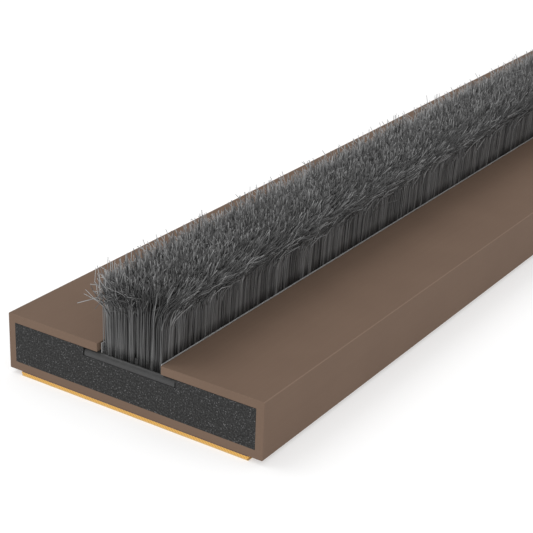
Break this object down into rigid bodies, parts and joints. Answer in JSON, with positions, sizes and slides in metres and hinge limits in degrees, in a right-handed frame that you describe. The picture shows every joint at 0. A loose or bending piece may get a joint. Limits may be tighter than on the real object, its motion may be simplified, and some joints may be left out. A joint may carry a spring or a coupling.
{
  "type": "door brush seal",
  "caption": "Flat slotted channel with a graphite core, a brush pile standing out of its slot and a self-adhesive tape underneath.",
  "frame": {"origin": "centre of the release liner's underside, on the surface that the strip is stuck to", "axes": "+Y along the strip, +Z away from the surface towards the brush tips, X across the strip"},
  "size_m": [0.02, 0.1, 0.0094],
  "materials": {
    "casing_plastic": "brown rigid plastic with a fine satin grain",
    "graphite_core": "dark grey pressed graphite with pale specks",
    "upper_adhesive": "thin brownish tacky adhesive",
    "tape_amber": "amber tape with a fine diagonal hatch",
    "lower_adhesive": "clear tacky adhesive",
    "liner_film": "smooth amber release film",
    "backing_plastic": "smooth dark grey plastic",
    "pile_base_fibre": "dark bound fibre ends",
    "side_film": "thin clear-grey film",
    "pile_fibre": "grey synthetic fibre, slightly glossy"
  },
  "bodies": {
    "casing": {"casing": "casing_plastic", "core": "graphite_core", "upper_adhesive": "upper_adhesive", "tape_carrier": "tape_amber", "lower_adhesive": "lower_adhesive"},
    "liner": {"release_liner": "liner_film"},
    "insert": {"backing_strip": "backing_plastic", "pile_base": "pile_base_fibre", "left_film": "side_film", "right_film": "side_film"},
    "pile_row_3": {"pile_row_3": "pile_fibre"},
    "pile_row_1": {"pile_row_1": "pile_fibre"},
    "pile_row_2": {"pile_row_2": "pile_fibre"},
    "pile_row_4": {"pile_row_4": "pile_fibre"},
    "pile_row_5": {"pile_row_5": "pile_fibre"}
  },
  "joints": [
    {"name": "liner_peel", "type": "slide", "parent": "casing", "child": "liner", "axis": [0, -1, 0], "range_m": [0, 0.1]},
    {"name": "insert_slide", "type": "slide", "parent": "casing", "child": "insert", "axis": [0, 1, 0], "range_m": [0, 0.1]},
    {"name": "pile_lean", "type": "hinge", "parent": "insert", "child": "pile_row_3", "pos_m": [-0.00002, 0, 0.00455], "axis": [0, 1, 0], "range_deg": [-20, 20], "stiffness_Nm_per_rad": 0.0005},
    {"name": "pile_lean_1", "type": "hinge", "parent": "insert", "child": "pile_row_1", "pos_m": [-0.0019, 0, 0.00455], "axis": [0, 1, 0], "range_deg": [-20, 20], "stiffness_Nm_per_rad": 0.0005},
    {"name": "pile_lean_2", "type": "hinge", "parent": "insert", "child": "pile_row_2", "pos_m": [-0.00096, 0, 0.00455], "axis": [0, 1, 0], "range_deg": [-20, 20], "stiffness_Nm_per_rad": 0.0005},
    {"name": "pile_lean_4", "type": "hinge", "parent": "insert", "child": "pile_row_4", "pos_m": [0.00092, 0, 0.00455], "axis": [0, 1, 0], "range_deg": [-20, 20], "stiffness_Nm_per_rad": 0.0005},
    {"name": "pile_lean_5", "type": "hinge", "parent": "insert", "child": "pile_row_5", "pos_m": [0.00186, 0, 0.00455], "axis": [0, 1, 0], "range_deg": [-20, 20], "stiffness_Nm_per_rad": 0.0005}
  ],
  "couplings": [
    {"joint": "pile_lean_1", "follows": "pile_lean", "ratio": 1},
    {"joint": "pile_lean_2", "follows": "pile_lean", "ratio": 1},
    {"joint": "pile_lean_4", "follows": "pile_lean", "ratio": 1},
    {"joint": "pile_lean_5", "follows": "pile_lean", "ratio": 1}
  ]
}
